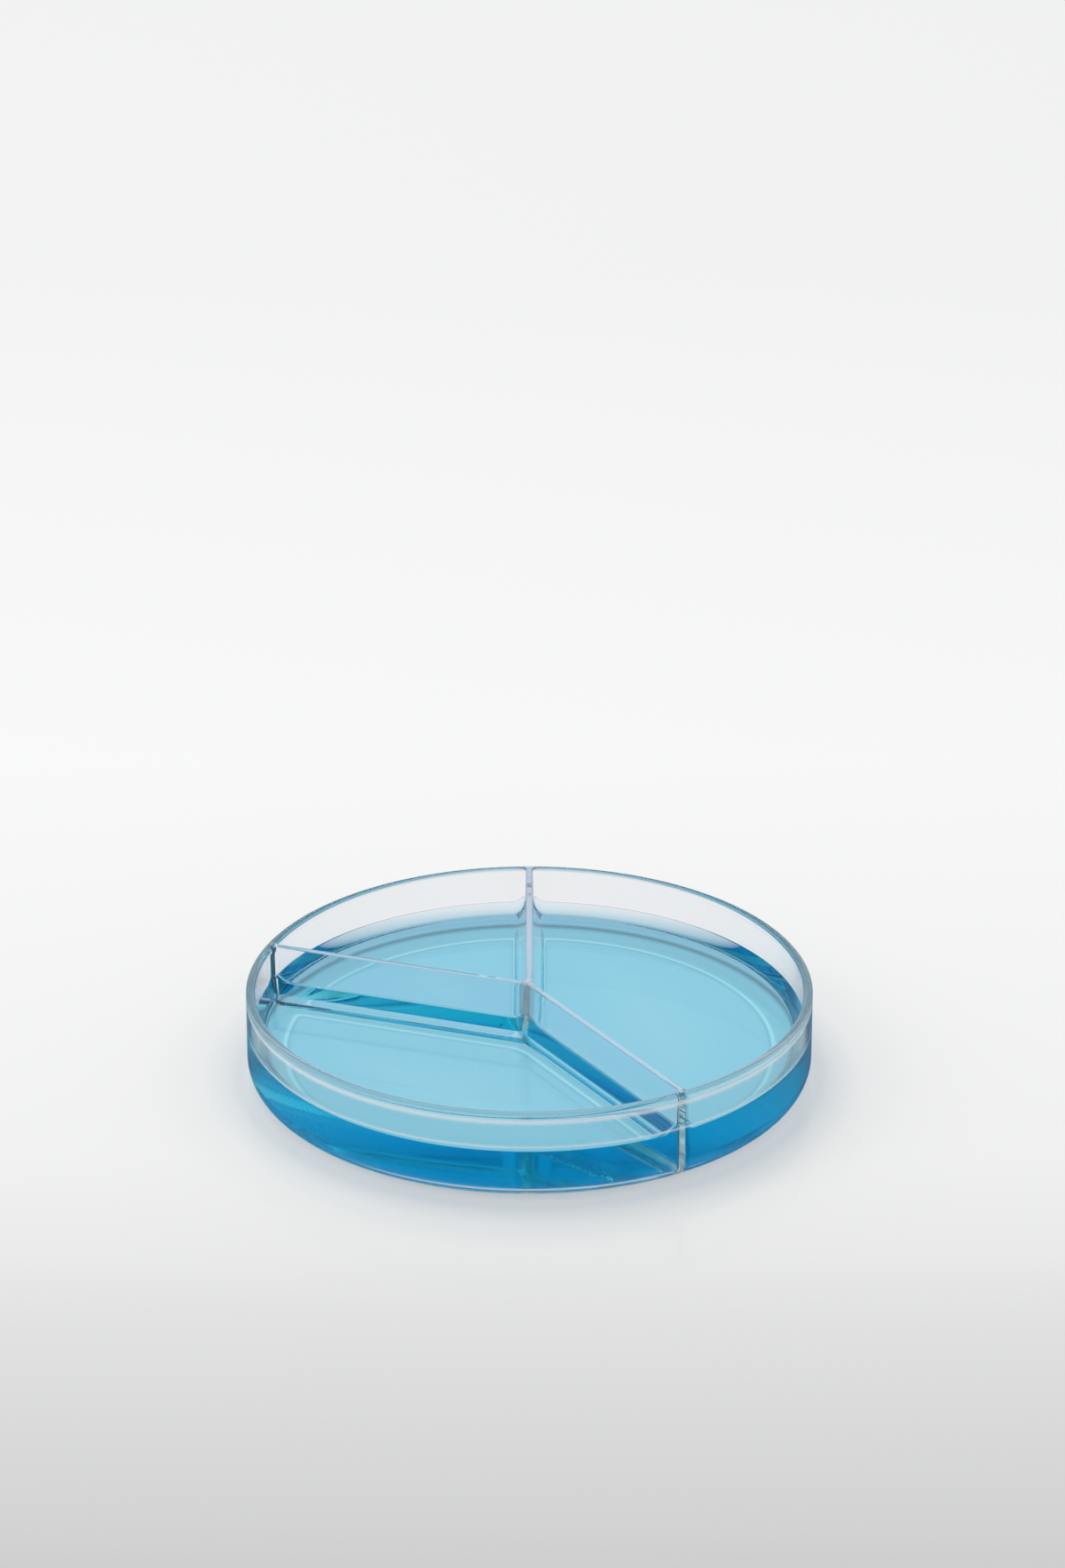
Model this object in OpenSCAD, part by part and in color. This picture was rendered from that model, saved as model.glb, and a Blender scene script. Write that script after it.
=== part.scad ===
// Round three-compartment reagent reservoir: a clear moulded dish whose
// dividers part it into three pools of blue reagent.
// Origin: centre of the underside.  +Z is up.  Millimetres and degrees.

/* [Dish] */
// Outside diameter of the wall, which a lid slides over
dish_d = 88; // [60:1:150]
// Height from the underside to the crest of the rim
dish_h = 14.8; // [12:0.1:30]
// Thickness of the rim, which is rounded right over
rim_t = 1.4; // [1.2:0.1:2]
// Thickness of the wall under the rim, at its thinnest
wall_t = 1.1; // [0.8:0.1:1.1]
// Radius of the hollow that leads from the rim into the wall, inside
rim_hollow_r = 0.5; // [0.3:0.1:1]
// Thickness of the floor
floor_t = 1.4; // [0.8:0.1:2.4]
// Radius of the heel, where the wall turns under the dish
heel_r = 3.6; // [2:0.1:4.5]
// Radius of the fillet where the wall meets the floor inside
floor_fillet_r = 2.2; // [1:0.1:3]
// Draft of every upright face inside the dish
draft = 0.6; // [0.3:0.1:1.5]

/* [Dividers] */
// Direction of the back divider, turned from +X
back_a = 90; // [75:1:115]
// Direction of the left divider
left_a = 161; // [150:1:200]
// Direction of the front divider
front_a = 302; // [285:1:315]
// Thickness of a divider at its top
divider_t = 1; // [0.6:0.1:2]
// How far the dividers stop below the crest of the rim
divider_drop = 0.1; // [0.05:0.05:0.4]
// Radius on the two long top edges of a divider
divider_edge_r = 0.2; // [0.05:0.05:0.25]
// Radius of the fillet along the foot of a divider
foot_fillet_r = 0.8; // [0.3:0.1:1.5]
// Radius of the upright fillets where dividers meet each other and the wall
corner_fillet_r = 0.7; // [0.3:0.1:1.5]

/* [Reagent] */
// Depth of the reagent above the floor
reagent_depth = 6; // [3:0.1:8]
// Radius of the curve that the reagent's surface draws up against the plastic
meniscus_r = 4; // [2:0.1:5]
// Angle at which that curve meets the plastic
contact_a = 43; // [30:1:60]

/* [Hidden] */
round_fn = 128;
ring_fn = 256;
arc_steps = 8;
wedge_sides = 3;
wall_r = dish_d / 2;
rim_r = rim_t / 2;
crest_r = wall_r - rim_r;
rim_c = [crest_r, dish_h - rim_r];
divider_top = dish_h - divider_drop;
reagent_top = floor_t + reagent_depth;
// Depth to which one form is buried in the next, so that they fuse
bury = floor_t / 2;
// A fillet or meniscus dips this far past the faces that it runs out on, so that it
// crosses them cleanly
dip = 0.02;
meniscus_rise = meniscus_r * (1 - sin(contact_a)) - dip;
meniscus_reach = meniscus_r * cos(contact_a);
contact_z = reagent_top + meniscus_rise;
dividers = [back_a, left_a, front_a];
compartments = [[back_a, left_a], [left_a, front_a], [front_a, back_a + 360]];
mid_z = (floor_t + divider_top) / 2;
plastic = [0.88, 0.93, 0.96, 0.35];
reagent_blue = [0.10, 0.56, 0.82, 0.75];

// How far the rounded rim turns under, inside, before the hollow meets it
rim_turn_a = acos((wall_t - rim_r + rim_hollow_r) / (rim_r + rim_hollow_r));
hollow_c = rim_c - (rim_r + rim_hollow_r) * [cos(rim_turn_a), sin(rim_turn_a)];
rim_foot_z = rim_c.y - rim_r * sin(rim_turn_a);

// Radius of the inside of the wall at height z, which leans outwards with the draft
function inner_r(z) = wall_r - wall_t - (hollow_c.y - z) * tan(draft);
// Half the thickness of a divider at height z
function divider_half(z) = divider_t / 2 + (divider_top - z) * tan(draft);
// Points of an arc about centre c, from angle a0 to angle a1
function arc(c, r, a0, a1) =
    [for (i = [0 : arc_steps]) let (a = a0 + (a1 - a0) * i / arc_steps) c + r * [cos(a), sin(a)]];

// Where the fillet inside the wall runs out on the wall, and the centre of its circle
wall_foot_z = floor_t + floor_fillet_r * (1 - sin(draft));
wall_foot = [inner_r(wall_foot_z), wall_foot_z];
fillet_c = wall_foot - floor_fillet_r * [cos(draft), -sin(draft)];

// Half of the section of the round pool inside the wall, filled up to height top_z
module pool_section(top_z) {
    polygon([
        [0, floor_t], [fillet_c.x, floor_t], [fillet_c.x, wall_foot.y], wall_foot,
        [inner_r(top_z), top_z], [0, top_z]
    ]);
    intersection() {
        translate(fillet_c) circle(floor_fillet_r, $fn = round_fn);
        translate([fillet_c.x - bury, floor_t]) square([wall_r, wall_foot.y - floor_t]);
    }
}

// Rectangle between two corners
module block(low, high) {
    polygon([low, [high.x, low.y], high, [low.x, high.y]]);
}

// Half of the section of the round mouth over that pool, which the rim narrows
module mouth_section() {
    block([0, hollow_c.y], [hollow_c.x, rim_foot_z]);
    intersection() {
        translate(hollow_c) circle(rim_hollow_r, $fn = round_fn);
        block([hollow_c.x - bury, hollow_c.y], [wall_r, rim_foot_z]);
    }
    difference() {
        block([0, rim_foot_z], [crest_r, rim_c.y]);
        translate(rim_c) circle(rim_r, $fn = round_fn);
    }
}

// Half of the section of the dish before its compartments are hollowed out
module blank_section() {
    square([wall_r - heel_r, rim_c.y]);
    translate([0, heel_r]) square([wall_r, rim_c.y - heel_r]);
    translate([wall_r - heel_r, heel_r]) intersection() {
        circle(heel_r, $fn = round_fn);
        translate([0, -heel_r]) square(heel_r);
    }
    translate(rim_c) intersection() {
        circle(rim_r, $fn = round_fn);
        translate([-rim_r, 0]) square([rim_t, rim_r]);
    }
}

// Half of a divider's section, from its top centre down to its foot
function divider_half_section() =
    let (
        edge_c = [divider_half(divider_top) - divider_edge_r, divider_top - divider_edge_r],
        foot_x = divider_half(floor_t) + foot_fillet_r * (1 - sin(draft)) / cos(draft),
        foot_c = [foot_x, floor_t + foot_fillet_r - dip]
    )
    concat(
        arc(edge_c, divider_edge_r, 90, draft),
        arc(foot_c, foot_fillet_r, 180 + draft, 270),
        [[foot_x, floor_t - bury]]
    );

module divider_section() {
    right = divider_half_section();
    polygon(concat(right, [for (i = [len(right) - 1 : -1 : 0]) [-right[i].x, right[i].y]]));
}

// Runs a section, drawn across a divider, from the dish's axis out into the wall
module along_divider(a) {
    rotate(a) rotate([90, 0, 90]) linear_extrude(crest_r) children();
}

// Upright fillet in the corner p, whose middle points in the direction a and whose
// faces stand half an angle either side of it.  It leans back with their draft.
module corner_fillet(p, a, half) {
    lean = atan(tan(draft) / sin(half));
    side = corner_fillet_r / tan(half);
    centre = (corner_fillet_r - dip) / sin(half);
    translate([p.x, p.y, mid_z]) rotate(a) rotate([0, -lean, 0])
        linear_extrude(dish_h, center = true) difference() {
            polygon([
                [-divider_t / 4, 0],
                side * [cos(half), sin(half)],
                [centre, 0],
                side * [cos(half), -sin(half)]
            ]);
            translate([centre, 0]) circle(corner_fillet_r, $fn = round_fn);
        }
}

// The fillets of one compartment: one at the axis and one at the wall end of each divider
module compartment_fillets(from_a, to_a) {
    half = (to_a - from_a) / 2;
    middle_a = (from_a + to_a) / 2;
    flank = divider_half(mid_z);
    wall_offset_a = asin(flank / inner_r(mid_z));
    wall_half = (90 - wall_offset_a) / 2;
    corner_fillet(flank / sin(half) * [cos(middle_a), sin(middle_a)], middle_a, half);
    for (end = [[from_a, 1], [to_a, -1]]) {
        a = end[0] + end[1] * wall_offset_a;
        corner_fillet(
            inner_r(mid_z) * [cos(a), sin(a)], end[0] + end[1] * (180 - wall_half), wall_half
        );
    }
}

// Wedge of the dish between the middles of two dividers
module wedge(from_a, to_a) {
    turn_a = (to_a - from_a) / wedge_sides;
    linear_extrude(dish_h) polygon(concat(
        [[0, 0]],
        [for (i = [0 : wedge_sides]) dish_d * [cos(from_a + i * turn_a), sin(from_a + i * turn_a)]]
    ));
}

// What a compartment's mould core leaves standing on its two sides
module compartment_sides(from_a, to_a) {
    for (a = [from_a, to_a]) along_divider(a) divider_section();
    compartment_fillets(from_a, to_a);
}

module dish() {
    color(plastic) {
        difference() {
            rotate_extrude($fn = ring_fn) blank_section();
            for (c = compartments) intersection() {
                wedge(c[0], c[1]);
                difference() {
                    rotate_extrude($fn = ring_fn) {
                        pool_section(hollow_c.y);
                        mouth_section();
                    }
                    compartment_sides(c[0], c[1]);
                }
            }
        }
        for (a = dividers) along_divider(a) intersection() {
            divider_section();
            translate([-divider_t, rim_c.y]) square([2 * divider_t, rim_r]);
        }
    }
}

// What lies above the reagent beside an upright face at x = face_x
module air_section(face_x) {
    centre = [face_x - meniscus_reach, reagent_top + meniscus_r - dip];
    translate(centre) circle(meniscus_r, $fn = round_fn);
    translate([0, reagent_top]) square([centre.x, dish_h]);
}

// What the reagent adds above its level on one side of a divider
module divider_meniscus_section() {
    centre = [divider_half(contact_z) + meniscus_reach, reagent_top + meniscus_r - dip];
    difference() {
        translate([0, reagent_top - bury]) square([centre.x, meniscus_rise + bury]);
        translate(centre) circle(meniscus_r, $fn = round_fn);
    }
}

// Reagent in one compartment: it climbs a little where it meets the plastic
module reagent(from_a, to_a) {
    color(reagent_blue) difference() {
        intersection() {
            wedge(from_a, to_a);
            union() {
                rotate_extrude($fn = ring_fn) difference() {
                    pool_section(contact_z);
                    air_section(inner_r(contact_z));
                }
                intersection() {
                    rotate_extrude($fn = ring_fn) pool_section(contact_z);
                    union() {
                        along_divider(from_a) mirror([1, 0]) divider_meniscus_section();
                        along_divider(to_a) divider_meniscus_section();
                    }
                }
            }
        }
        compartment_sides(from_a, to_a);
    }
}

module reagent_back_left() {
    reagent(back_a, left_a);
}

module reagent_front() {
    reagent(left_a, front_a);
}

module reagent_right() {
    reagent(front_a, back_a + 360);
}

dish();
reagent_back_left();
reagent_front();
reagent_right();
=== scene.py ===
import math

import bmesh
import bpy
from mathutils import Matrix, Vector


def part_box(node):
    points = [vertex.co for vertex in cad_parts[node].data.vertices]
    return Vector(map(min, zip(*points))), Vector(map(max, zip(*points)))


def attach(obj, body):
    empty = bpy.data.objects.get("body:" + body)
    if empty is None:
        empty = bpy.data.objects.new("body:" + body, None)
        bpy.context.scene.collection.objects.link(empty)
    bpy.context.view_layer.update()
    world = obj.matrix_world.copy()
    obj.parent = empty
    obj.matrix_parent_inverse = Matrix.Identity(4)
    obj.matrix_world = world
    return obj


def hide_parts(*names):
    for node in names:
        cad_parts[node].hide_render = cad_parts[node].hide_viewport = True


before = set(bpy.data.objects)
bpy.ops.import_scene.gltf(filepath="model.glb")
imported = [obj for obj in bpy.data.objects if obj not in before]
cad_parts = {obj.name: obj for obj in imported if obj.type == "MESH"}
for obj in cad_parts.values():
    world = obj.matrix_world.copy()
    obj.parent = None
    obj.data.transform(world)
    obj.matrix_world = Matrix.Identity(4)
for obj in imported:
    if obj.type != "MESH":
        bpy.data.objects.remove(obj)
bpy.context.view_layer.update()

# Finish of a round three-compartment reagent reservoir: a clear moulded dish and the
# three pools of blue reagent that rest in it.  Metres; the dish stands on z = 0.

MM = 0.001
FULL_TURN = 2 * math.pi

# The dish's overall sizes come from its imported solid, and the sizes of its section follow
_, DISH_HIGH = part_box("dish")
WALL_R = DISH_HIGH.x
DISH_H = DISH_HIGH.z
RIM_R = 0.7 * MM
WALL_T = 1.1 * MM
# Radius of the hollow that leads from the rounded rim into the thinner wall, inside
RIM_HOLLOW_R = 0.5 * MM
FLOOR_T = 1.4 * MM
HEEL_R = 3.6 * MM
FLOOR_FILLET_R = 2.2 * MM
FOOT_FILLET_R = 0.8 * MM
DIVIDER_HALF = 0.5 * MM
DIVIDER_EDGE_R = 0.2 * MM
CORNER_R = 0.7 * MM
DRAFT = math.radians(0.6)
# The rounded rim and divider edges stop this far below the crest, in a narrow flat land
LAND_DROP = 0.01 * MM

# Directions of the three dividers, and the compartments between them
BACK, LEFT, FRONT = math.radians(90), math.radians(161), math.radians(302)
COMPARTMENTS = {
    "reagent_back_left": (BACK, LEFT),
    "reagent_front": (LEFT, FRONT),
    "reagent_right": (FRONT, BACK + FULL_TURN),
}

# Reagent: its level, and how it climbs the plastic
LEVEL = 7.4 * MM
WALL_CLIMB = 1.35 * MM
DIVIDER_CLIMB = 1.25 * MM
CONTACT_Z = LEVEL + WALL_CLIMB
# How far out from the plastic the climb ends, and how it bends on the way
CLIMB_REACH = 1.9 * MM
CLIMB_POWER = 1.35
# How sharply the climbs up two dividers blend where these meet at the axis
APEX_BLEND = 1.6
# The reagent is let this far into the plastic, so that no film of air is left between them
SEAT = 0.12 * MM
# The surface has a loop of points at each of these insets from the plastic, in millimetres
MENISCUS_INSETS = [0, 0.1, 0.22, 0.36, 0.52, 0.7, 0.9, 1.1, 1.3, 1.48, 1.64, 1.78, 1.9, 2.2]

# How finely the round forms are stepped
ROUND_STEPS = 720
WALL_STEP = math.radians(0.6)
CORNER_STEPS = 14
RUN_STEPS = 44
ROLL_STEPS = 6
UNDER_STEPS = 4
UPRIGHT_STEPS = 6
FILLET_STEPS = 10
HEEL_STEPS = 14
# A band this wide keeps the shading of a flat face flat up to its edge
MARGIN = 0.3 * MM
# Points closer than this are one
WELD = MM / 10000


# ---------------------------------------------------------------- outlines

def polar(radius, angle):
    return Vector((radius * math.cos(angle), radius * math.sin(angle)))


def arc(centre, radius, start, end, steps):
    """Points along an arc, with both of its ends."""
    return [centre + polar(radius, start + (end - start) * i / steps) for i in range(steps + 1)]


def run(start, end, steps):
    """Points between two others, closer together towards both."""
    shares = [(1 - math.cos(math.pi * i / steps)) / 2 for i in range(1, steps)]
    return [start.lerp(end, share) for share in shares]


def smooth(share):
    return share * share * (3 - 2 * share)


def compartment_outline(span, wall_r, half, corner_r):
    """Outline of one compartment seen from above, with how far each point belongs to the wall.

    It lies inside a circle of radius wall_r, keeps the distance half from the middles of its
    two dividers, and has its three corners rounded to corner_r.
    """
    start, end = span
    opening = (end - start) / 2
    across, back = start - math.pi / 2, end + math.pi / 2
    reach = wall_r - corner_r
    swing = math.asin((half + corner_r) / reach)
    from_corner = polar(reach, start + swing)
    to_corner = polar(reach, end - swing)
    apex = polar((half + corner_r) / math.sin(opening), start + opening)
    wall_steps = round((end - start) / WALL_STEP)
    first = arc(from_corner, corner_r, across, start + swing, CORNER_STEPS)
    wall = arc(Vector((0, 0)), wall_r, start + swing, end - swing, wall_steps)[1:-1]
    second = arc(to_corner, corner_r, end - swing, back, CORNER_STEPS)
    middle = arc(apex, corner_r, back, across + FULL_TURN, CORNER_STEPS)
    outward = run(middle[-1], first[0], RUN_STEPS)
    inward = run(second[-1], middle[0], RUN_STEPS)
    rising = [smooth(i / CORNER_STEPS) for i in range(CORNER_STEPS + 1)]
    points = first + wall + second + inward + middle + outward
    shares = rising + [1] * len(wall) + rising[::-1] + [0] * (len(inward) + len(middle) + len(outward))
    return points, shares


class Level:
    """One step down a compartment's sides: where it meets the wall and where the dividers."""

    def __init__(self, wall, divider, corner_r):
        self.wall = wall
        self.divider = divider
        self.corner_r = corner_r

    def points(self, span):
        outline, shares = compartment_outline(span, self.wall.x, self.divider.x, self.corner_r)
        heights = [self.divider.y + (self.wall.y - self.divider.y) * share for share in shares]
        return [(p.x, p.y, z) for p, z in zip(outline, heights)]


RIM_C = Vector((WALL_R - RIM_R, DISH_H - RIM_R))
# How far the rounded rim turns under, inside, before the hollow meets it
RIM_TURN = math.acos((WALL_T - RIM_R + RIM_HOLLOW_R) / (RIM_R + RIM_HOLLOW_R))
HOLLOW_C = RIM_C - polar(RIM_R + RIM_HOLLOW_R, RIM_TURN)


def wall_at(z):
    """Where the inside of the wall is at height z, in the dish's section."""
    return Vector((WALL_R - WALL_T - (HOLLOW_C.y - z) * math.tan(DRAFT), z))


def divider_at(z):
    """Where a divider's side is at height z, in the divider's section."""
    return Vector((DIVIDER_HALF + (DISH_H - z) * math.tan(DRAFT), z))


def land_turn(radius):
    """How far round a rounded edge stops short of its crest."""
    return math.acos(1 - LAND_DROP / radius)


def fillet_levels(seat=0):
    """Levels round the fillet at the foot of a compartment, from the top down."""
    wall_c = wall_at(FLOOR_T + FLOOR_FILLET_R) - Vector((FLOOR_FILLET_R, 0))
    divider_c = divider_at(FLOOR_T + FOOT_FILLET_R) + Vector((FOOT_FILLET_R, 0))
    return [
        Level(wall, divider, CORNER_R + seat)
        for wall, divider in zip(
            arc(wall_c, FLOOR_FILLET_R + seat, 0, -math.pi / 2, FILLET_STEPS),
            arc(divider_c, FOOT_FILLET_R + seat, math.pi, 1.5 * math.pi, FILLET_STEPS),
        )
    ]


def dry_levels():
    """Levels down a compartment's sides, from the rim to where the wall is plain."""
    edge_c = divider_at(DISH_H - DIVIDER_EDGE_R) - Vector((DIVIDER_EDGE_R, 0))
    rolls = zip(
        arc(RIM_C, RIM_R, math.pi / 2 + land_turn(RIM_R), math.pi, ROLL_STEPS),
        arc(edge_c, DIVIDER_EDGE_R, math.pi / 2 - land_turn(DIVIDER_EDGE_R), 0, ROLL_STEPS),
    )
    rolled = [Level(wall, divider, CORNER_R + DIVIDER_HALF - divider.x) for wall, divider in rolls]
    under = arc(RIM_C, RIM_R, math.pi, math.pi + RIM_TURN, UNDER_STEPS)[1:]
    hollow = arc(HOLLOW_C, RIM_HOLLOW_R, RIM_TURN, 0, UNDER_STEPS)[1:]
    margin = [wall_at(HOLLOW_C.y - MARGIN)]
    return rolled + [Level(wall, divider_at(wall.y), CORNER_R) for wall in under + hollow + margin]


# ---------------------------------------------------------------- mesh tools

def ring(bm, points):
    """A closed loop of vertices through the points, joined by edges."""
    loop = [bm.verts.new(p) for p in points]
    for pair in zip(loop, loop[1:] + loop[:1]):
        bm.edges.new(pair)
    return loop


def loop_edges(bm, loop):
    return [bm.edges.get(pair) for pair in zip(loop, loop[1:] + loop[:1])]


def carry(bm, loop, points):
    """Extrudes a loop to new places, which leaves a band of faces behind it."""
    made = set(bmesh.ops.extrude_edge_only(bm, edges=loop_edges(bm, loop))["geom"])
    onward = []
    for vert, point in zip(loop, points):
        after = next(e.other_vert(vert) for e in vert.link_edges if e.other_vert(vert) in made)
        after.co = point
        onward.append(after)
    return onward


def cap(bm, loop):
    """Closes a flat loop, with a narrow margin that keeps its shading flat."""
    face = bmesh.ops.edgeloop_fill(bm, edges=loop_edges(bm, loop))["faces"]
    bmesh.ops.inset_region(bm, faces=face, thickness=MARGIN, use_even_offset=True)


def finished(bm, name):
    """The bmesh as a smooth object with its faces pointing outwards."""
    bmesh.ops.remove_doubles(bm, verts=bm.verts, dist=WELD)
    bmesh.ops.recalc_face_normals(bm, faces=bm.faces)
    for face in bm.faces:
        face.smooth = True
    mesh = bpy.data.meshes.new(name)
    bm.to_mesh(mesh)
    bm.free()
    piece = bpy.data.objects.new(name, mesh)
    bpy.context.scene.collection.objects.link(piece)
    weighted = piece.modifiers.new("flat faces stay flat", "WEIGHTED_NORMAL")
    weighted.weight = 100
    weighted.keep_sharp = True
    return piece


# ---------------------------------------------------------------- dish

def outer_profile():
    """Outside of the dish's section, from the middle of its underside to the rim's land."""
    heel_c = Vector((WALL_R - HEEL_R, HEEL_R))
    heel = arc(heel_c, HEEL_R, -math.pi / 2, 0, HEEL_STEPS)
    rim = arc(RIM_C, RIM_R, 0, math.pi / 2 - land_turn(RIM_R), ROLL_STEPS)
    water_line = Vector((WALL_R, CONTACT_Z))
    lower = [heel[-1].lerp(water_line, i / UPRIGHT_STEPS) for i in range(1, UPRIGHT_STEPS)]
    upper = [water_line.lerp(rim[0], i / UPRIGHT_STEPS) for i in range(UPRIGHT_STEPS)]
    return [Vector((0, 0)), Vector((heel_c.x - MARGIN, 0))] + heel + lower + upper + rim


def make_dish():
    bm = bmesh.new()
    verts = [bm.verts.new((p.x, 0, p.y)) for p in outer_profile()]
    edges = [bm.edges.new(pair) for pair in zip(verts, verts[1:])]
    bmesh.ops.spin(
        bm, geom=verts + edges, cent=(0, 0, 0), axis=(0, 0, 1), angle=FULL_TURN,
        steps=ROUND_STEPS, use_merge=True,
    )
    bmesh.ops.remove_doubles(bm, verts=bm.verts, dist=WELD)
    for face in bm.faces:
        if face.calc_center_median().z < CONTACT_Z:
            face.material_index = 1
    land = [edge for edge in bm.edges if edge.is_boundary]
    dry, wet = dry_levels(), fillet_levels()
    for span in COMPARTMENTS.values():
        loop = ring(bm, dry[0].points(span))
        land += loop_edges(bm, loop)
        for level in dry[1:]:
            loop = carry(bm, loop, level.points(span))
        loop = carry(bm, loop, surface_points(span, 0))
        above = set(bm.faces)
        for level in wet:
            loop = carry(bm, loop, level.points(span))
        cap(bm, loop)
        for face in set(bm.faces) - above:
            face.material_index = 1
    bmesh.ops.triangle_fill(bm, use_beauty=True, edges=land)
    return finished(bm, "moulded_dish")


# ---------------------------------------------------------------- reagent

def climb(distance, height):
    """How far the reagent stands above its level at this distance from the plastic."""
    left = 1 - min(max(distance, 0), CLIMB_REACH) / CLIMB_REACH
    return height * left ** CLIMB_POWER


def surface_height(point, span, wall_r, half):
    start, end = span
    from_wall = wall_r - point.length
    from_start = point.dot(polar(1, start + math.pi / 2)) - half
    from_end = point.dot(polar(1, end - math.pi / 2)) - half
    sides = [climb(d, DIVIDER_CLIMB) for d in (from_start, from_end)]
    beside = sum(side ** APEX_BLEND for side in sides) ** (1 / APEX_BLEND)
    return LEVEL + climb(from_wall, WALL_CLIMB) + beside


def surface_points(span, inset):
    """Points of the reagent's surface, this far in from the plastic."""
    wall_r = wall_at(LEVEL).x
    half = divider_at(LEVEL).x
    corner_r = CORNER_R + max(inset / 2, 0) - min(inset, 0)
    outline, _ = compartment_outline(span, wall_r - inset, half + inset, corner_r)
    return [(p.x, p.y, surface_height(p, span, wall_r, half)) for p in outline]


def make_reagent(node, span):
    bm = bmesh.new()
    loop = middle = ring(bm, surface_points(span, MENISCUS_INSETS[-1] * MM))
    for inset in MENISCUS_INSETS[-2::-1]:
        loop = carry(bm, loop, surface_points(span, inset * MM))
    loop = carry(bm, loop, surface_points(span, -SEAT))
    crease = loop_edges(bm, loop)
    for level in fillet_levels(SEAT):
        loop = carry(bm, loop, level.points(span))
    for edge in crease:
        edge.smooth = False
    cap(bm, middle)
    cap(bm, loop)
    return finished(bm, node.replace("reagent", "pool"))


# ---------------------------------------------------------------- materials

class Value:
    """A shader socket that can be used in sums."""

    def __init__(self, shader, socket):
        self.shader = shader
        self.socket = socket

    def maths(self, operation, *others):
        return self.shader.node("ShaderNodeMath", {"operation": operation}, list(others))

    def __add__(self, other):
        return self.maths("ADD", self, other)

    def __radd__(self, other):
        return self.maths("ADD", other, self)

    def __sub__(self, other):
        return self.maths("SUBTRACT", self, other)

    def __rsub__(self, other):
        return self.maths("SUBTRACT", other, self)

    def __mul__(self, other):
        return self.maths("MULTIPLY", self, other)

    def __pow__(self, other):
        return self.maths("POWER", self, other)

    def out(self, name):
        """Another output of the same node."""
        return Value(self.shader, self.socket.node.outputs[name])


def set_stops(ramp, stops):
    """Gives a ramp its places and colours, from the first to the last."""
    while len(ramp.elements) < len(stops):
        ramp.elements.new(1.0)
    for element, (place, colour) in zip(ramp.elements, stops):
        element.position = place
        element.color = colour


class Shader:
    """Builds a material's nodes."""

    def __init__(self, owner):
        owner.use_nodes = True
        self.tree = owner.node_tree
        self.tree.nodes.clear()

    def node(self, kind, settings=None, inputs=None):
        """A node with its settings made first, then its sockets' values or links."""
        made = self.tree.nodes.new(kind)
        for name, value in (settings or {}).items():
            if name == "stops":
                set_stops(made.color_ramp, value)
            else:
                setattr(made, name, value)
        pairs = inputs.items() if isinstance(inputs, dict) else enumerate(inputs or [])
        for key, value in pairs:
            # A node keeps sockets of the same name for its other data types, which are off
            live = [i for i in made.inputs if i.enabled]
            socket = live[key] if isinstance(key, int) else next(i for i in live if i.name == key)
            if isinstance(value, Value):
                self.tree.links.new(value.socket, socket)
            else:
                socket.default_value = value
        live = [o for o in made.outputs if o.enabled]
        return Value(self, live[0]) if live else made

    def ramp(self, value, stops):
        """Colours that follow a value, from the places and colours of the stops."""
        first, last = stops[0][0], stops[-1][0]
        spread = [((at - first) / (last - first), (*colour, 1.0)) for at, colour in stops]
        share = (value - first) * (1 / (last - first))
        return self.node("ShaderNodeValToRGB", {"stops": spread}, [share])

    def smooth(self, value, start, end):
        """Rises smoothly from nothing at the start to one at the end."""
        low, high = min(start, end), max(start, end)
        rise = self.node("ShaderNodeMapRange", {"interpolation_type": "SMOOTHSTEP"}, {
            "Value": value, "From Min": low, "From Max": high, "To Min": 0.0, "To Max": 1.0,
        })
        return rise if start < end else 1 - rise

    def near(self, value, middle, spread):
        """One at the middle, fading to nothing at the spread on either side of it."""
        return self.smooth(value.maths("ABSOLUTE", value - middle), spread, 0.0)

    def blend(self, share, first, second, how="MIX"):
        """The first colour, turned into the second by the share."""
        return self.node("ShaderNodeMix", {"data_type": "RGBA", "blend_type": how}, {
            "Factor": share, "A": first, "B": second,
        })

    def place(self):
        return self.node("ShaderNodeTexCoord").out("Object")

    def noise(self, scale, detail):
        return self.node("ShaderNodeTexNoise", inputs={
            "Vector": self.place(), "Scale": scale, "Detail": detail,
        })

    def bump(self, height, strength):
        return self.node("ShaderNodeBump", inputs={
            "Strength": strength, "Distance": RIPPLE_HEIGHT, "Height": height,
        })


# Clear plastic, and a painted shade that makes the front of the outer wall, between the rim and the
# reagent, bluer
PLASTIC_TINT = (0.958, 0.953, 0.973, 1.0)
FRONT_WALL_SHADE_TINT = (0.78, 0.90, 0.89, 1.0)
# Painted highlights run round the outside of the wall as pale lines, at these heights and this
# far either way: where the hollow under the rim ends, just above the reagent, and along the heel
RIM_HIGHLIGHT_Z = HOLLOW_C.y + 0.05 * MM
RIM_HIGHLIGHT_SPREAD = 0.75 * MM
RIM_HIGHLIGHT_SHARE = 0.62
WATER_HIGHLIGHT_Z = CONTACT_Z + 0.42 * MM
WATER_HIGHLIGHT_SPREAD = 0.32 * MM
WATER_HIGHLIGHT_SHARE = 0.5
HEEL_HIGHLIGHT_Z = 0.75 * MM
HEEL_HIGHLIGHT_SPREAD = 0.65 * MM
HEEL_HIGHLIGHT_SHARE = 0.55
HIGHLIGHT_TONE = (0.97, 0.98, 1.0, 1.0)
# The first two of these painted highlights and the painted bluer shade on the wall fade out from here
# backwards
FRONT_START, FRONT_END = 0.015, -0.02
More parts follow.
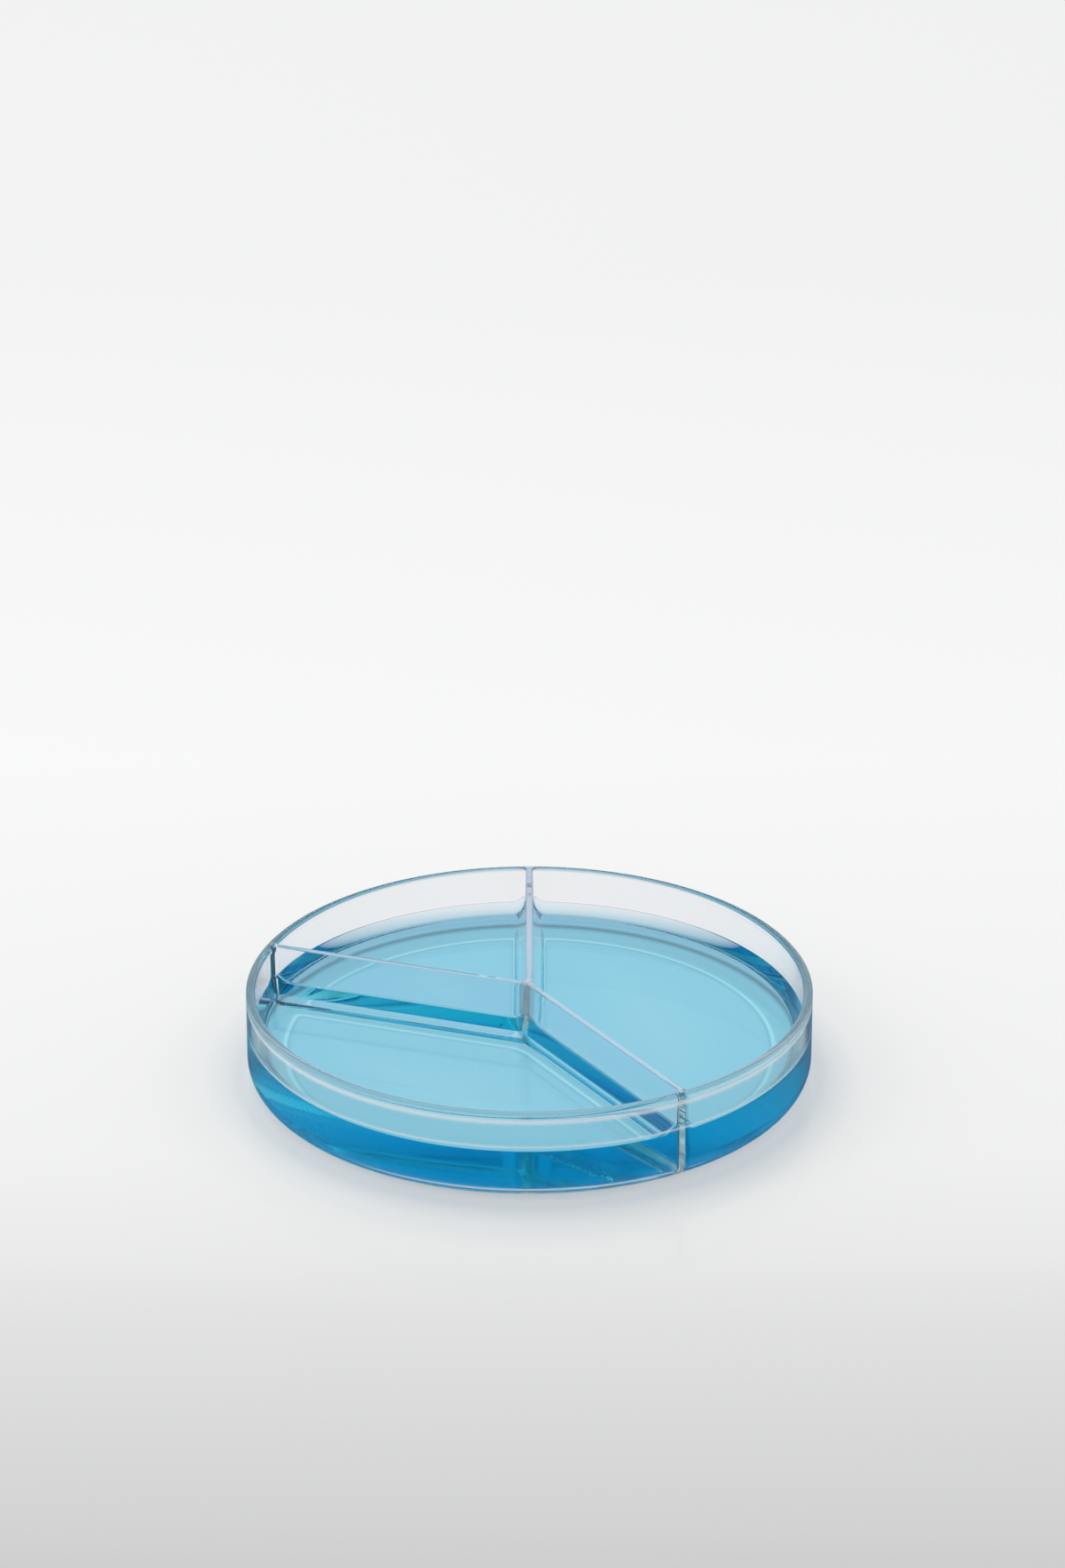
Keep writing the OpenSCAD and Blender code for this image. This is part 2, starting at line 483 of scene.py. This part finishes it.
# The dividers' tops are a little milky, with a painted light-blue tone that stands in for the
# reagent's light coming up through them.  The back divider's, which is the one within this far
# of x = 0, is painted a greyer shade, and so is the post where all three meet.
LAND_SHARE = 0.4
LAND_PAINTED_LIGHT_TONE = (0.42, 0.68, 0.86, 1.0)
BACK_LAND_REACH = 1.0 * MM
POST_R = 1.7 * MM
POST_SHADE_SHARE = 0.2
POST_PAINTED_SHADE_TONE = (0.46, 0.53, 0.65, 1.0)
# The rim's crest is painted with some of the reagent's colour, a dark teal shade, between these
# heights
CREST_LOW, CREST_HIGH = DISH_H - 0.6 * MM, DISH_H - 0.3 * MM
CREST_SHADE_SHARE = 0.22
CREST_SHADE_TONE = (0.20, 0.34, 0.39, 1.0)
# Height of the ripples in the plastic and in the reagent's surface
RIPPLE_HEIGHT = 0.02 * MM


def milky_and_painted_places(shader):
    """Where the plastic is milky, where it carries painted highlights and shade, in which tone, and
    where the front of the outer wall takes its painted bluer shade.
    """
    place = shader.node("ShaderNodeSeparateXYZ", inputs=[shader.place()])
    x, y, z = place.out("X"), place.out("Y"), place.out("Z")
    out = (x * x + y * y) ** 0.5
    inside = place.maths("LESS_THAN", out, WALL_R - 2 * RIM_R)
    outside = place.maths("GREATER_THAN", out, WALL_R - RIM_R / 2)
    at_heel = place.maths("GREATER_THAN", out, WALL_R - HEEL_R)
    by_rim = 1 - inside
    front = outside * shader.smooth(y, FRONT_START, FRONT_END)

    # The dividers' tops are milky, with a painted light-blue tone
    land = inside * place.maths("GREATER_THAN", z, DISH_H - DIVIDER_EDGE_R)
    behind = place.maths("GREATER_THAN", y, 0.0)
    on_back = place.maths("LESS_THAN", place.maths("ABSOLUTE", x), BACK_LAND_REACH) * behind
    # Painted grey shade on the post where the three dividers meet
    post_shade = place.maths("LESS_THAN", out, POST_R) * shader.smooth(z, LEVEL, CONTACT_Z)
    # Painted dark teal shade on the rim's crest
    crest_shade = by_rim * shader.smooth(z, CREST_LOW, CREST_HIGH)

    # Painted highlights: pale lines under the rim, just above the reagent, and along the heel
    rim_highlight = shader.near(z, RIM_HIGHLIGHT_Z, RIM_HIGHLIGHT_SPREAD) * RIM_HIGHLIGHT_SHARE
    water_line = shader.near(z, WATER_HIGHLIGHT_Z, WATER_HIGHLIGHT_SPREAD) * WATER_HIGHLIGHT_SHARE
    heel_highlight = shader.near(z, HEEL_HIGHLIGHT_Z, HEEL_HIGHLIGHT_SPREAD) * HEEL_HIGHLIGHT_SHARE
    highlights = front * (rim_highlight + water_line) + at_heel * heel_highlight

    # The back divider's top and the post take a greyer painted shade
    grey = place.maths("MAXIMUM", on_back, post_shade)
    tone = shader.blend(grey, LAND_PAINTED_LIGHT_TONE, POST_PAINTED_SHADE_TONE)
    # Near the rim the painted highlights take their pale tone
    tone = shader.blend(by_rim, tone, HIGHLIGHT_TONE)
    tone = shader.blend(crest_shade, tone, CREST_SHADE_TONE)
    share = land * LAND_SHARE + post_shade * POST_SHADE_SHARE + highlights + crest_shade * CREST_SHADE_SHARE
    # The last value is where the front of the outer wall, above the reagent, takes its painted bluer
    # shade
    return share, tone, front * shader.smooth(z, CONTACT_Z, WATER_HIGHLIGHT_Z)


def clear_plastic(name, glint):
    """Clear moulded plastic, whose straight-on reflections are scaled by glint."""
    material = bpy.data.materials.new(name)
    shader = Shader(material)
    share, tone, front_shade = milky_and_painted_places(shader)
    haze = shader.noise(220.0, 3.0)
    ripple = shader.noise(70.0, 1.0)
    clear = shader.node("ShaderNodeBsdfPrincipled", inputs={
        # Painted bluer shade on the front of the outer wall
        "Base Color": shader.blend(front_shade, PLASTIC_TINT, FRONT_WALL_SHADE_TINT),
        "Roughness": 0.012 + haze * 0.02,
        "IOR": 1.58,
        "Specular Tint": (glint, glint, glint, 1.0),
        "Transmission Weight": 1.0,
        "Normal": shader.bump(ripple, 0.35),
    })
    # The milky finish, and the painted highlights and shade, in their tones
    milky_and_painted = shader.node("ShaderNodeBsdfPrincipled", inputs={
        "Base Color": tone, "Roughness": 0.4, "IOR": 1.58,
    })
    mixed = shader.node("ShaderNodeMixShader", inputs=[share, clear, milky_and_painted])
    shader.node("ShaderNodeOutputMaterial", inputs={"Surface": mixed})
    return material


def blue_reagent():
    """Watery reagent, whose dye takes the red out of the light that crosses it."""
    material = bpy.data.materials.new("blue_reagent")
    shader = Shader(material)
    swirl = shader.noise(40.0, 2.0)
    water = shader.node("ShaderNodeBsdfPrincipled", inputs={
        "Base Color": (1.0, 1.0, 1.0, 1.0),
        "Roughness": 0.004 + swirl * 0.008,
        "IOR": 1.333,
        "Specular Tint": (0.15, 0.15, 0.15, 1.0),
        "Transmission Weight": 1.0,
        "Normal": shader.bump(swirl, 0.25),
    })
    dye = shader.node("ShaderNodeVolumeAbsorption", inputs={
        "Color": (0.0, 0.868, 0.951, 1.0), "Density": 100.0,
    })
    shader.node("ShaderNodeOutputMaterial", inputs={"Surface": water, "Volume": dye})
    return material


# ---------------------------------------------------------------- studio

FLOOR_SIZE = 6.0
# Thickness of the film of air between the dish and what it stands on
FLOOR_GAP = 0.03 * MM
# How pale the floor is painted, from in front of the dish to behind it, by metres along Y: a
# painted shade that darkens it towards the front, palest a little behind the dish
FLOOR_FALLOFF_SHADE = [
    (-0.25, 0.455), (-0.221, 0.48), (-0.2075, 0.495), (-0.179, 0.53), (-0.149, 0.59),
    (-0.133, 0.64), (-0.12, 0.662), (-0.11, 0.68), (-0.10, 0.704), (-0.08, 0.742),
    (-0.06, 0.81), (-0.03, 0.868), (0.02, 0.89), (0.12, 0.925), (0.4, 0.87), (1.1, 0.865),
]
FLOOR_HUE = (1.0, 1.0, 0.99)
# What the floor looks like in reflections, against what it looks like through the dish
REFLECTED_TONE = (0.10, 0.22, 0.30, 1.0)
# The light that comes down through the dish is painted on the floor: the edges of the
# compartments' floors gather it into a pale line with a dark one beside it.  The line keeps
# this far from the wall and from the middles of the dividers, with its corners rounded.
LINE_FROM_WALL = 5.0 * MM
LINE_FROM_DIVIDER = 2.2 * MM
LINE_CORNER = 1.6 * MM
# Painted shadow and light that the dish casts on the floor, by millimetres inwards from that
# line: the blue light under the dish, the pale and dark lines, and a darker shadow round the heel
CAST_LIGHT_AND_SHADOW = [
    (-22.0, (1.00, 1.00, 1.00)), (-13.0, (0.88, 0.93, 0.97)), (-9.5, (0.64, 0.77, 0.87)),
    (-7.5, (0.38, 0.58, 0.74)), (-6.2, (0.50, 0.64, 0.79)), (-4.0, (0.54, 0.68, 0.82)),
    (-1.5, (0.59, 0.73, 0.87)), (-0.7, (0.61, 0.75, 0.90)), (-0.35, (0.95, 1.02, 1.06)),
    (-0.05, (0.86, 0.97, 1.08)), (0.25, (0.50, 0.65, 0.83)), (0.65, (0.66, 0.78, 0.94)),
    (1.2, (0.68, 0.80, 0.955)), (6.0, (0.69, 0.81, 0.965)), (16.0, (0.77, 0.85, 0.98)),
]
# How much of that painted shadow and light the camera sees beside the dish, where nothing is in
# between
SEEN_BESIDE = 0.42
# How much of the floor's colour glows by itself in each kind of view, so that what is
# seen through the dish keeps the tone it is given; the rest is lit and shows the shadow
GLOW_DIRECT, GLOW_THROUGH, GLOW_REFLECTED = 0.6, 0.95, 0.9

HORIZON_COLOUR = (0.98, 0.99, 1.0, 1.0)
OVERHEAD_COLOUR = (0.74, 0.76, 0.78, 1.0)
# In reflections and through the dish, the sky is darker on the side that the camera is
# on, and a little darker high up and on the left
DARK_TONE = (0.42, 0.44, 0.46, 1.0)
HIGH_SHARE = 0.12
LEFT_SHARE = 0.3


def line_distance(shader, x, y):
    """How far inwards a place on the floor is from the line round its compartment."""
    distance = WALL_R - WALL_T - LINE_FROM_WALL - (x * x + y * y) ** 0.5
    for turn in (BACK, LEFT, FRONT):
        along = x * math.cos(turn) + y * math.sin(turn)
        across = y * math.cos(turn) - x * math.sin(turn)
        behind = along.maths("MINIMUM", along, 0.0)
        gap = (across * across + behind * behind) ** 0.5 - LINE_FROM_DIVIDER
        distance = gap.maths("SMOOTH_MIN", distance, gap, LINE_CORNER)
    return distance


def make_floor():
    bm = bmesh.new()
    bmesh.ops.create_grid(bm, x_segments=1, y_segments=1, size=FLOOR_SIZE / 2)
    bmesh.ops.translate(bm, verts=bm.verts, vec=(0, 0, -FLOOR_GAP))
    mesh = bpy.data.meshes.new("floor")
    bm.to_mesh(mesh)
    bm.free()
    floor = bpy.data.objects.new("floor", mesh)
    bpy.context.scene.collection.objects.link(floor)
    material = bpy.data.materials.new("pale_floor")
    shader = Shader(material)
    place = shader.node("ShaderNodeSeparateXYZ", inputs=[shader.place()])
    x, y = place.out("X"), place.out("Y")
    # Painted shade: the floor darkens towards the front of the dish
    falloff_shade = shader.ramp(y, [(at, [grey * part for part in FLOOR_HUE]) for at, grey in FLOOR_FALLOFF_SHADE])
    lit = shader.node("ShaderNodeBsdfPrincipled", inputs={
        "Base Color": falloff_shade, "Roughness": 0.05, "IOR": 1.45,
    })
    # Painted shadow and light that the dish casts on the floor
    cast_light = shader.ramp(line_distance(shader, x, y), [(gap * MM, tone) for gap, tone in CAST_LIGHT_AND_SHADOW])
    path = shader.node("ShaderNodeLightPath")
    direct = path.out("Is Camera Ray")
    through = path.out("Is Transmission Ray")
    # A ray that is bent through the dish counts as glossy too
    reflected = path.out("Is Glossy Ray") * (1 - through)
    shadowed = shader.blend(1 - direct * (1 - SEEN_BESIDE), falloff_shade, cast_light, "MULTIPLY")
    toned = shader.blend(reflected, shadowed, REFLECTED_TONE, "MULTIPLY")
    glow = shader.node("ShaderNodeEmission", inputs={"Color": toned, "Strength": 1.0})
    share = through * GLOW_THROUGH + direct * GLOW_DIRECT + reflected * GLOW_REFLECTED
    mixed = shader.node("ShaderNodeMixShader", inputs=[share, lit, glow])
    shader.node("ShaderNodeOutputMaterial", inputs={"Surface": mixed})
    floor.data.materials.append(material)


def make_world():
    """A soft sky, palest at the horizon."""
    world = bpy.data.worlds.new("studio")
    bpy.context.scene.world = world
    shader = Shader(world)
    way = shader.node("ShaderNodeTexCoord").out("Generated")
    parts = shader.node("ShaderNodeSeparateXYZ", inputs=[way])
    side, rise, back = parts.out("X"), parts.out("Z"), parts.out("Y")
    tone = shader.blend(shader.smooth(rise, 0.0, 0.9), HORIZON_COLOUR, OVERHEAD_COLOUR)
    camera_side = shader.smooth(back, 0.6, -0.1)
    high = shader.smooth(rise, 0.35, 0.8)
    left = shader.smooth(side, -0.1, -0.8)
    darker = camera_side + (1 - camera_side) * (high * HIGH_SHARE + left * LEFT_SHARE)
    seen = shader.node("ShaderNodeLightPath").out("Is Glossy Ray")
    shown = shader.blend(seen * darker, tone, DARK_TONE, "MULTIPLY")
    sky = shader.node("ShaderNodeBackground", inputs={"Color": shown, "Strength": 1.0})
    shader.node("ShaderNodeOutputWorld", inputs={"Surface": sky})


def soft_light(name, place, size, power):
    """A lamp that shines on the dish, seen neither through it nor in reflections."""
    lamp = bpy.data.lights.new(name, "AREA")
    lamp.shape = "RECTANGLE"
    lamp.size, lamp.size_y = size
    lamp.energy = power
    light = bpy.data.objects.new(name, lamp)
    light.location = place
    light.rotation_euler = (-Vector(place)).to_track_quat("-Z", "Y").to_euler()
    light.visible_transmission = False
    light.visible_glossy = False
    bpy.context.scene.collection.objects.link(light)


def make_lights():
    soft_light("overhead", (-0.35, 0.45, 1.1), (0.6, 0.4), 3)
    soft_light("left", (-1.0, -0.2, 0.7), (0.3, 0.6), 1.8)


# The camera looks along +Y, down on the dish
CAMERA_DISTANCE = 0.8
CAMERA_RISE = math.radians(26.917)
CAMERA_DIP = math.radians(23.73)
CAMERA_TURN = math.radians(-0.039)
LENS = 117.2
SENSOR = 36


def make_camera():
    lens = bpy.data.cameras.new("camera")
    lens.sensor_width = SENSOR
    lens.lens = LENS
    lens.clip_start = 0.01
    camera = bpy.data.objects.new("camera", lens)
    back, up = math.cos(CAMERA_RISE), math.sin(CAMERA_RISE)
    camera.location = (0, -CAMERA_DISTANCE * back, CAMERA_DISTANCE * up)
    camera.rotation_euler = (math.pi / 2 - CAMERA_DIP, 0, CAMERA_TURN)
    bpy.context.scene.collection.objects.link(camera)
    bpy.context.scene.camera = camera


# ---------------------------------------------------------------- scene

# Light runs a long way round inside the wall and the dividers before it gets out
BOUNCES = 160


def dress(piece, materials, node):
    for material in materials:
        piece.data.materials.append(material)
    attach(piece, "root")
    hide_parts(node)


plastics = [clear_plastic("clear_plastic", 0.7), clear_plastic("wetted_plastic", 0.02)]
dress(make_dish(), plastics, "dish")
reagents = [blue_reagent()]
for node, span in COMPARTMENTS.items():
    dress(make_reagent(node, span), reagents, node)

make_floor()
make_world()
make_lights()
make_camera()

scene = bpy.context.scene
scene.view_settings.view_transform = "Standard"
scene.cycles.max_bounces = BOUNCES
scene.cycles.transmission_bounces = BOUNCES
scene.cycles.glossy_bounces = BOUNCES
